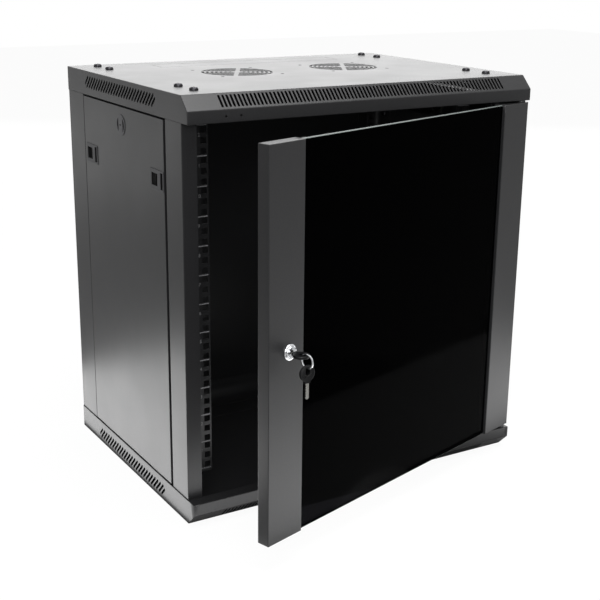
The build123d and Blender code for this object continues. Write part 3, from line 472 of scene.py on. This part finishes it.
def folded_copy(node):
    """The node's mesh with its folds and cut edges rounded."""
    work = flattened(node)
    corners = outward_corners(work, LONG_EDGE)
    cut_edges = [edge for edge in corners
                 if min(face_width(face) for face in edge.link_faces) < SHEET_LIMIT]
    folds = [edge for edge in corners if edge not in cut_edges]
    print(node, "folds", len(folds), "cut edges", len(cut_edges))
    folds = [piece for edge in folds for piece in divided(edge)]
    cut_edges = [piece for edge in cut_edges for piece in divided(edge)]
    fill_evenly(work)
    lay_flat(work)
    round_off(work, folds, FOLD_RADIUS, FOLD_STEPS)
    round_off(work, cut_edges, CUT_EDGE_RADIUS, CUT_EDGE_STEPS)
    return finish_piece(node + "_folded", work, slot_of_node[node], body_of_node[node],
                        replaces=[node], smooth=False)


for node in ("top_cap", "base_tray", "front_left_post", "front_right_post", "rear_left_post",
             "rear_right_post", "front_left_rail", "front_right_rail", "rear_left_rail",
             "rear_right_rail", "panel_seat_beams", "depth_beams", "rear_panel",
             "left_side_panel", "right_side_panel", "door_lock_stile", "door_hinge_stile"):
    folded_copy(node)

# %% [markdown]
# ## The pane and its ground edge
#
# A pane of toughened glass is cut first, then its edges are ground and given a small
# chamfer all round, and only then is it heated. The pane is a cube brought to size on the
# door's own axes, with its edges bevelled. The side faces take the matt ground finish and
# the two large ones stay polished.

# %% Axes of the door, and the pane
lock_joint = joints["lock_turn"]
OUTWARD = Vector(lock_joint["axis"]).normalized()
UP = Vector((0, 0, 1))
DOOR_RIGHT = UP.cross(OUTWARD).normalized()
lock_centre = Vector(lock_joint["pos_m"])


def on_axes(origin, x_axis, y_axis, z_axis):
    """Matrix that carries a shape onto three axes at an origin."""
    turned = Matrix((x_axis, y_axis, z_axis)).transposed().to_4x4()
    return Matrix.Translation(origin) @ turned


lock_frame = on_axes(lock_centre, DOOR_RIGHT, UP, OUTWARD)
to_lock = lock_frame.inverted()


def local_box(node, to_local):
    """Lowest and highest corner of a node on other axes."""
    points = [to_local @ vertex.co for vertex in nodes[node].data.vertices]
    low = Vector([min(point[i] for point in points) for i in range(3)])
    high = Vector([max(point[i] for point in points) for i in range(3)])
    return low, high


def block(low, high):
    """A box between two corners."""
    work = bmesh.new()
    bmesh.ops.create_cube(work, size=1)
    bmesh.ops.scale(work, vec=high - low, verts=work.verts)
    bmesh.ops.translate(work, vec=(low + high) / 2, verts=work.verts)
    return work


EDGE_CHAMFER = mm(0.8)
POLISHED = 0.95                 # a face that looks this straight outwards is a polished one
pane_low, pane_high = local_box("door_glass", to_lock)
pane = block(pane_low, pane_high)
bmesh.ops.bevel(pane, geom=pane.edges[:], offset=EDGE_CHAMFER, offset_type="OFFSET", segments=1,
                profile=0.5, affect="EDGES", material=-1)
for face in pane.faces:
    face.material_index = 0 if abs(face.normal.z) > POLISHED else 1
bmesh.ops.transform(pane, matrix=lock_frame, verts=pane.verts)
finish_piece("door_pane", pane, "tinted_glass", "door", replaces=["door_glass"],
             materials=[PANE, GROUND_EDGE])
print("pane", [round(1000 * size, 1) for size in pane_high - pane_low], "mm")

# %% [markdown]
# ## Unit marks on the rails
#
# A rail is marked every rack unit with a line and the unit's number, so that an installer
# can count holes. A line lies on the narrow bridge between two units' holes, and a number
# beside the wider bridge below it. The lines are thin plates and the numbers are text
# turned into a mesh, all joined to one piece for each rail and laid a hair above the paint.

# %% Marks and numbers
UNIT_COUNT = 12
INK_THICKNESS = mm(0.06)
LINE_LENGTH = mm(21.0)
LINE_WIDTH = mm(1.6)
LINE_INSET = mm(13.2)           # middle of the lines from the rail's outer edge
NUMBER_HEIGHT = mm(7.5)
NUMBER_INSET = mm(9.3)
NUMBER_RISE = mm(30.4)          # above the line below it
FIRST_UNIT_RISE = mm(6.0)       # first unit above the rail's lower end
facing_front = on_axes(Vector((0, 0, 0)), Vector((1, 0, 0)), UP, Vector((0, -1, 0)))


def number_mesh(text):
    """Flat mesh of a number, centred, in the XY plane."""
    curve = bpy.data.curves.new("number " + text, "FONT")
    curve.body = text
    curve.size = NUMBER_HEIGHT
    curve.align_x = "CENTER"
    curve.align_y = "CENTER"
    curve.extrude = INK_THICKNESS / 2
    curve.resolution_u = 3
    writer = bpy.data.objects.new("number " + text, curve)
    mesh = bpy.data.meshes.new_from_object(writer)
    bpy.data.objects.remove(writer)
    return mesh


def rail_marks(rail, side):
    """Lines and numbers on the outer strip of a front rail."""
    low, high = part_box(rail)
    outer = low.x if side < 0 else high.x
    work = bmesh.new()
    for unit in range(UNIT_COUNT + 1):
        z = low.z + FIRST_UNIT_RISE + unit * UNIT
        line = bmesh.ops.create_cube(work, size=1)["verts"]
        bmesh.ops.scale(work, vec=(LINE_LENGTH, INK_THICKNESS, LINE_WIDTH), verts=line)
        bmesh.ops.translate(work, vec=(outer - side * LINE_INSET, low.y, z), verts=line)
        if unit < UNIT_COUNT:
            mesh = number_mesh(str(unit + 1))
            spot = (outer - side * NUMBER_INSET, low.y, z + NUMBER_RISE)
            mesh.transform(Matrix.Translation(spot) @ facing_front)
            work.from_mesh(mesh)
    return finish_piece(rail + "_marks", work, slot_of_node[rail], body_of_node[rail],
                        materials=[INK])


for rail, side in (("front_left_rail", -1), ("front_right_rail", 1)):
    marks = rail_marks(rail, side)
    print(marks.name, len(marks.data.polygons), "faces")

# %% [markdown]
# ## The door lock's face
#
# The lock's housing is turned from brass and chromed: a flange with a rounded rim, a
# shallow groove and a raised collar round the plug. A turned part is a profile spun
# about its axis, so a few points in one plane are spun through a full turn.


# %% Turned parts
def turned_part(profile_mm, steps, place):
    """Spins a closed profile of (radius, height) points about Z and places it."""
    work = bmesh.new()
    ring = [work.verts.new((mm(radius), 0, mm(height))) for radius, height in profile_mm]
    edges = [work.edges.new((ring[i], ring[(i + 1) % len(ring)])) for i in range(len(ring))]
    bmesh.ops.spin(work, geom=ring + edges, axis=(0, 0, 1), cent=(0, 0, 0), steps=steps,
                   angle=2 * math.pi, use_merge=True)
    bmesh.ops.remove_doubles(work, verts=work.verts, dist=MERGE_DISTANCE)
    bmesh.ops.transform(work, matrix=place, verts=work.verts)
    return work


LOCK_FACE_DEPTH = 4.5           # millimetres, as all of the profile
LOCK_BORE = 6.05
ROSETTE_STEPS = 64
housing_low, housing_high = local_box("lock_housing", to_lock)
barrel_back = housing_low.z * 1000
lock_profile = [
    (LOCK_BORE, barrel_back), (9.0, barrel_back), (9.0, 0.0), (11.2, 0.0), (11.5, 0.3),
    (11.5, 1.4), (11.1, 2.3), (10.2, 2.9), (9.3, 3.1), (8.9, 2.8), (8.5, 3.1), (8.0, 4.1),
    (7.5, LOCK_FACE_DEPTH), (LOCK_BORE + 0.4, LOCK_FACE_DEPTH), (LOCK_BORE, 4.1),
]
rosette = turned_part(lock_profile, ROSETTE_STEPS, lock_frame)
finish_piece("lock_rosette", rosette, "chrome", "door", replaces=["lock_housing"])
print("lock face", round(2000 * housing_high.x, 1), "mm across")

# %% [markdown]
# ## Key ring
#
# A split ring is a spring-steel wire wound twice round, its two turns pressed together. It
# is modelled as it is made: a small round section is spun through two turns while it
# shifts sideways by its own thickness, and its cut ends are closed.

# %% Split ring
RING_RADIUS = mm(9.6)
RING_BAND = mm(2.8)             # both turns together
WIRE_DEPTH = mm(2.5)            # radial thickness of the wire
TURN_GAP = mm(0.05)             # between the two turns
WIRE_STEPS = 128
WIRE_SIDES = 10
ring_low, ring_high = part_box("key_ring")
ring_centre = (ring_low + ring_high) / 2
along_ring = Vector(joints["spare_key_swing"]["axis"]).normalized()
ring_frame = on_axes(ring_centre, UP, along_ring, UP.cross(along_ring))
wire = bmesh.new()
section = bmesh.ops.create_circle(wire, cap_ends=True, segments=WIRE_SIDES, radius=0.5)["verts"]
bmesh.ops.scale(wire, vec=(WIRE_DEPTH, RING_BAND / 2 - TURN_GAP, 1), verts=section)
bmesh.ops.rotate(wire, cent=(0, 0, 0), matrix=Matrix.Rotation(math.pi / 2, 3, "X"),
                 verts=section)
bmesh.ops.translate(wire, vec=(RING_RADIUS, 0, -RING_BAND / 4), verts=section)
bmesh.ops.spin(wire, geom=wire.faces[:] + wire.edges[:] + wire.verts[:], axis=(0, 0, 1),
               cent=(0, 0, 0), dvec=(0, 0, RING_BAND / 2 / WIRE_STEPS), steps=WIRE_STEPS,
               angle=4 * math.pi, use_merge=False)
bmesh.ops.transform(wire, matrix=ring_frame, verts=wire.verts)
split_ring = finish_piece("split_ring", wire, "chrome", "ring", replaces=["key_ring"])
print("split ring", len(split_ring.data.polygons), "faces")

# %% [markdown]
# ## Key bows
#
# A key's bow is moulded over the root of its blade, with a shallow recess in each side that
# leaves a raised rim round the edge and round the slot. The two flat faces of the
# solid's bow are inset and pushed in, and the rim's inner edge keeps a small step.

# %% Recessed bows
BOW_RIM = mm(1.7)
BOW_RECESS = mm(0.45)
LARGE_FLAT = 0.25               # share of the largest face that counts as a flat side


def moulded_bow(node):
    """The node's bow with a recess in both flat sides."""
    work = flattened(node)
    largest = max(face.calc_area() for face in work.faces)
    sides = [face for face in work.faces if face.calc_area() > LARGE_FLAT * largest]
    for side in sides:
        bmesh.ops.inset_region(work, faces=[side], thickness=BOW_RIM, depth=-BOW_RECESS,
                               use_even_offset=True)
    print(node, "sides", len(sides))
    return finish_piece(node + "_moulded", work, slot_of_node[node], body_of_node[node],
                        replaces=[node])


for node in ("key_bow", "spare_key_bow"):
    moulded_bow(node)

# %% [markdown]
# ## Latches of the side panels
#
# A latch is a black nylon case clipped into the panel, with a slider that a fingertip pulls
# back. The case's plate is a separate moulding with rounded edges, and the slider's pad has
# ribs that give the finger a grip. The panel's lock is moulded in the same way, in a lighter
# grey that is a painted highlight, with a finger pocket on each side of the bar that carries
# the plug. The floors of all pockets are left rough and made near-black as painted shade, so
# they look much darker than the plates.

# %% Latch cases and ribs
PLATE_ROUND = mm(0.5)
PLATE_STEPS = 3
PLATE_EDGE = mm(0.7)            # shortest edge that is rounded
POCKET_DEPTH = mm(0.6)          # from here inwards a pocket is rough
PAD_TOLERANCE = mm(0.1)         # points this close to the outermost one are on the pad
RIB_COUNT = 4
RIB_RADIUS = mm(0.45)
RIB_SIDES = 12
RIB_SHARE = 0.8                 # of the pad's height


def moulded_case(node, side, plate):
    """The node's mouldings with rounded edges, and rough pockets in painted shade."""
    low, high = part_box(node)
    outer = low.x if side < 0 else high.x
    work = flattened(node)
    corners = outward_corners(work, PLATE_EDGE)
    bmesh.ops.triangulate(work, faces=work.faces)
    round_off(work, corners, PLATE_ROUND, PLATE_STEPS)
    # faces deeper than the plate take the near-black material, painted shade of the pocket
    for face in work.faces:
        if abs(face.calc_center_median().x - outer) > POCKET_DEPTH:
            face.material_index = 1
    return finish_piece(node + "_rounded", work, slot_of_node[node], body_of_node[node],
                        replaces=[node], materials=[plate, POCKET_SHADE_PLASTIC])


def grip_ribs(node, side):
    """Upright half-round ribs on the outer face of a slider's pad."""
    low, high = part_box(node)
    outer = low.x if side < 0 else high.x
    pad = [vertex.co for vertex in nodes[node].data.vertices
           if abs(vertex.co.x - outer) < PAD_TOLERANCE]
    y_low, y_high = min(co.y for co in pad), max(co.y for co in pad)
    z_low, z_high = min(co.z for co in pad), max(co.z for co in pad)
    work = bmesh.new()
    for rib in range(RIB_COUNT):
        y = y_low + (y_high - y_low) * (rib + 1) / (RIB_COUNT + 1)
        place = Matrix.Translation((outer, y, (z_low + z_high) / 2))
        bmesh.ops.create_cone(work, cap_ends=True, segments=RIB_SIDES, radius1=RIB_RADIUS,
                              radius2=RIB_RADIUS, depth=(z_high - z_low) * RIB_SHARE,
                              matrix=place)
    # the ribs take the pockets' near-black material, a painted shade
    return finish_piece(node + "_ribs", work, slot_of_node[node], body_of_node[node],
                        materials=[POCKET_SHADE_PLASTIC])


for name, side in (("left", -1), ("right", 1)):
    for case, plate in (("_latch_housings", LATCH_PLASTIC), ("_panel_lock", HIGHLIGHTED_LOCK_PLASTIC)):
        moulding = moulded_case(name + case, side, plate)
        print(moulding.name, len(moulding.data.polygons), "faces")
    for end in ("front", "rear"):
        grip_ribs(f"{name}_{end}_latch", side)

# %% [markdown]
# ## Sheets for the studio
#
# What stands round the cabinet is as plain as in a photographer's studio: flat sheets, each
# with two shaders blended, so that a sheet can look different to the camera, in a mirror or
# from behind.


# %% Helpers for the studio
def studio_sheet(name, size, place, material):
    """A flat rectangle that belongs to the studio, not to the cabinet."""
    work = bmesh.new()
    bmesh.ops.create_grid(work, x_segments=1, y_segments=1, size=0.5,
                          matrix=place @ Matrix.Diagonal((*size, 1, 1)))
    mesh = bpy.data.meshes.new(name)
    work.to_mesh(mesh)
    work.free()
    mesh.materials.append(material)
    sheet = bpy.data.objects.new(name, mesh)
    bpy.context.scene.collection.objects.link(sheet)
    return sheet


def blended_material(name, shaders_of):
    """A material that blends two shaders; shaders_of gives the share and the two shaders."""
    material = bpy.data.materials.new(name)
    material.use_nodes = True
    tree = material.node_tree
    tree.nodes.remove(tree.nodes["Principled BSDF"])
    share, first, second = shaders_of(tree)
    mixed = add_node(tree, "ShaderNodeMixShader", {0: share, 1: first, 2: second})
    tree.links.new(mixed.outputs["Shader"], tree.nodes["Material Output"].inputs["Surface"])
    return material


print("made", studio_sheet.__name__, "and", blended_material.__name__)

# %% [markdown]
# ## Floor
#
# The cabinet stands on a pale floor in an even white room. The camera sees the floor nearly
# white, with the cabinet's soft shadow on it. Black satin paint mirrors the floor close to
# its foot, where a floor as bright as that would wash the paint out, so mirrored rays find
# it darker.

# %% Floor
SEEN_GLOW = 0.86                # share of plain white, the rest keeps the shadow
MIRRORED_GLOW = 0.06            # less in mirrored rays, which meet the floor near the base
GLOW_STRENGTH = 1.1             # makes up for the matt share, which is darker than white
FLOOR_SIZE = (16, 16)


def glowing_floor(tree):
    """Matt floor that glows for the camera, and a little in mirrors and through glass."""
    ray = add_node(tree, "ShaderNodeLightPath")
    seen = add_node(tree, "ShaderNodeMath", {0: ray.outputs["Is Camera Ray"], 1: SEEN_GLOW},
                    operation="MULTIPLY")
    mirrored = add_node(tree, "ShaderNodeMath", {0: ray.outputs["Is Glossy Ray"],
                                                 1: ray.outputs["Is Transmission Ray"]},
                        operation="MAXIMUM")
    dimmed = add_node(tree, "ShaderNodeMath", {0: mirrored.outputs["Value"],
                                               1: MIRRORED_GLOW}, operation="MULTIPLY")
    share = add_node(tree, "ShaderNodeMath", {0: seen.outputs["Value"],
                                              1: dimmed.outputs["Value"]},
                     operation="MAXIMUM")
    matt = add_node(tree, "ShaderNodeBsdfDiffuse", {"Color": linear("#989898")})
    glow = add_node(tree, "ShaderNodeEmission", {"Color": (1, 1, 1, 1),
                                                  "Strength": GLOW_STRENGTH})
    return share.outputs["Value"], matt.outputs["BSDF"], glow.outputs["Emission"]


floor = studio_sheet("floor", FLOOR_SIZE, Matrix.Identity(4),
                     blended_material("pale studio floor", glowing_floor))
print("floor", floor.name)

# %% [markdown]
# ## A card of painted shade
#
# The row of slots in the cap's front edge lies before the row in its right side, so some
# white floor would shine through both. A black card hangs close to that side, no taller than
# the side itself, as painted shade: it blacks out what the camera would see through the
# slots. It is black only where it faces the cabinet, and only the camera meets it, so it
# casts no shadow and takes no light away.

# %% Painted-shade card
SHADE_CARD_SIZE = (mm(320), mm(27))
SHADE_CARD_GAP = mm(2)                # off the cabinet's side
SHADE_CARD_DROP = mm(7)               # from the cap's top down to the flag's upper edge
SHADE_CARD_BACK = mm(20)              # behind the middle of the side
cap_low, cap_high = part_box("top_cap")
shade_card_centre = Vector((cap_high.x + SHADE_CARD_GAP, (cap_low.y + cap_high.y) / 2 + SHADE_CARD_BACK,
                      cap_high.z - SHADE_CARD_DROP - SHADE_CARD_SIZE[1] / 2))
shade_card_place = on_axes(shade_card_centre, Vector((0, -1, 0)), UP, Vector((-1, 0, 0)))


def one_sided_painted_shade(tree):
    """Painted shade: black from the front, clear from behind."""
    side = add_node(tree, "ShaderNodeNewGeometry")
    painted_black = add_node(tree, "ShaderNodeBsdfDiffuse", {"Color": linear("#050505")})
    clear = add_node(tree, "ShaderNodeBsdfTransparent")
    return side.outputs["Backfacing"], painted_black.outputs["BSDF"], clear.outputs["BSDF"]


shade_card = studio_sheet("painted shade card", SHADE_CARD_SIZE, shade_card_place,
                    blended_material("painted shade, clear from behind", one_sided_painted_shade))
for rays in ("shadow", "diffuse", "glossy", "transmission"):
    setattr(shade_card, "visible_" + rays, False)
print("shade_card", [round(side * 1000) for side in SHADE_CARD_SIZE], "mm")

# %% [markdown]
# ## Room
#
# The room is white to the camera, in reflections and through glass, and gives less light
# than that to the matt faces. A light path node tells the kinds of rays apart.

# %% World
ROOM_LIGHT = 0.45               # light that the room itself gives
world = bpy.data.worlds.new("white room")
bpy.context.scene.world = world
world.use_nodes = True
tree = world.node_tree
background = tree.nodes["Background"]
ray = add_node(tree, "ShaderNodeLightPath")
seen = add_node(tree, "ShaderNodeMath", {0: ray.outputs["Is Camera Ray"],
                                         1: ray.outputs["Is Glossy Ray"]}, operation="MAXIMUM")
shown = add_node(tree, "ShaderNodeMath", {0: seen.outputs["Value"],
                                          1: ray.outputs["Is Transmission Ray"]},
                 operation="MAXIMUM")
strength = between(tree, shown.outputs["Value"], ROOM_LIGHT, 1.0, 0.0, 1.0)
tree.links.new(strength, background.inputs["Strength"])
background.inputs["Color"].default_value = (1, 1, 1, 1)
print("room light", ROOM_LIGHT)

# %% [markdown]
# ## Lamps
#
# Satin paint shows almost nothing but what it mirrors, so wide soft boxes do the work: one
# overhead, one behind that gives the top its sheen, and a fill beside the camera that
# reaches the inside. The ones on the floor shine upwards, and each brightens the faces that
# mirror its stretch of floor. The one that the door mirrors is turned with the door. The
# camera doesn't see any of them.

# %% Soft boxes
FLOOR_LAMP_RISE = mm(2)         # just clear of the floor
CLOSED, WIDE_OPEN = joints["door_hinge"]["range_deg"]
DOOR_TURN = math.radians(-CLOSED)       # how far the door stands open


def soft_box(name, place, aim, width, height, power, turn=0.0):
    """A rectangular lamp that shines from its place to its aim, turned about the upright."""
    data = bpy.data.lights.new(name, "AREA")
    data.shape = "RECTANGLE"
    data.size = width
    data.size_y = height
    data.energy = power
    lamp = bpy.data.objects.new(name, data)
    lamp.location = place
    facing = (Vector(aim) - Vector(place)).to_track_quat("-Z", "Y")
    lamp.rotation_euler = (Quaternion(UP, turn) @ facing).to_euler()
    lamp.visible_camera = False
    bpy.context.scene.collection.objects.link(lamp)
    return lamp


def floor_box(name, x, y, width, height, power, turn=0.0):
    """A soft box that lies on the floor and shines upwards."""
    return soft_box(name, (x, y, FLOOR_LAMP_RISE), (x, y, 1.0), width, height, power, turn)


print("the door stands", -CLOSED, "degrees open and goes on to", WIDE_OPEN - CLOSED)

# name, place, for the first three the aim, width and height in metres, watts
soft_box("overhead soft box", (0.0, -0.7, 2.6), (0, 0, 0.3), 2.0, 1.6, 75)
soft_box("sheen soft box", (1.7, 2.8, 1.7), (0, 0, 0.6), 5.0, 3.0, 90)
soft_box("fill soft box", (-1.1, -1.8, 1.2), (0, 0, 0.3), 1.2, 0.8, 32)
floor_box("left floor light", -0.4825, 0.125, 0.355, 0.75, 3.0)
floor_box("front floor light", 0.28, -0.445, 1.15, 0.30, 2.8, DOOR_TURN)
floor_box("far left floor light", -1.75, 3.4, 2.2, 2.6, 20)
floor_box("far right floor light", 2.6, -1.2, 4.0, 1.5, 9)
floor_box("base floor light", -0.1, -0.315, 0.45, 0.14, 0.6)

# %% [markdown]
# ## Camera
#
# The camera looks down a little from the front left, with a long lens that keeps the
# cabinet's uprights almost parallel. It is rolled by a fraction of a degree.

# %% Camera
CAMERA_PLACE = Vector((-0.9636, -1.6170, 0.8261))
CAMERA_HEADING = math.radians(31.16)    # to the right of straight back
CAMERA_DIP = math.radians(17.01)
CAMERA_ROLL = math.radians(0.65)
CAMERA_LENS = 69.34
ahead = Vector((math.sin(CAMERA_HEADING) * math.cos(CAMERA_DIP),
                math.cos(CAMERA_HEADING) * math.cos(CAMERA_DIP), -math.sin(CAMERA_DIP)))
level_right = ahead.cross(UP).normalized()
level_up = level_right.cross(ahead)
camera_right = level_right * math.cos(CAMERA_ROLL) + level_up * math.sin(CAMERA_ROLL)
camera_up = level_up * math.cos(CAMERA_ROLL) - level_right * math.sin(CAMERA_ROLL)
camera = bpy.data.objects.new("camera", bpy.data.cameras.new("camera"))
camera.data.lens = CAMERA_LENS
camera.data.sensor_width = 36
camera.data.clip_end = 50
camera.matrix_world = on_axes(CAMERA_PLACE, camera_right, camera_up, -ahead)
bpy.context.scene.collection.objects.link(camera)
bpy.context.scene.camera = camera
bpy.context.scene.view_settings.view_transform = "Standard"
print("camera lens", CAMERA_LENS, "mm")

# %% [markdown]
# ## Finishes of the solid model's own parts
#
# The parts whose solid shape is already right keep it, and only take their finish. The
# sliders lie in the latches' pockets and take the pockets' rough, near-black material, which is
# painted shade.

# %% Hand out the finishes
for node, solid in nodes.items():
    # the sliders take the pockets' near-black material, a painted shade
    finish = POCKET_SHADE_PLASTIC if node.endswith("_latch") else FINISHES[slot_of_node[node]]
    for material_slot in solid.material_slots:
        material_slot.material = finish
print("pieces added", len(made), "solids", len(nodes))
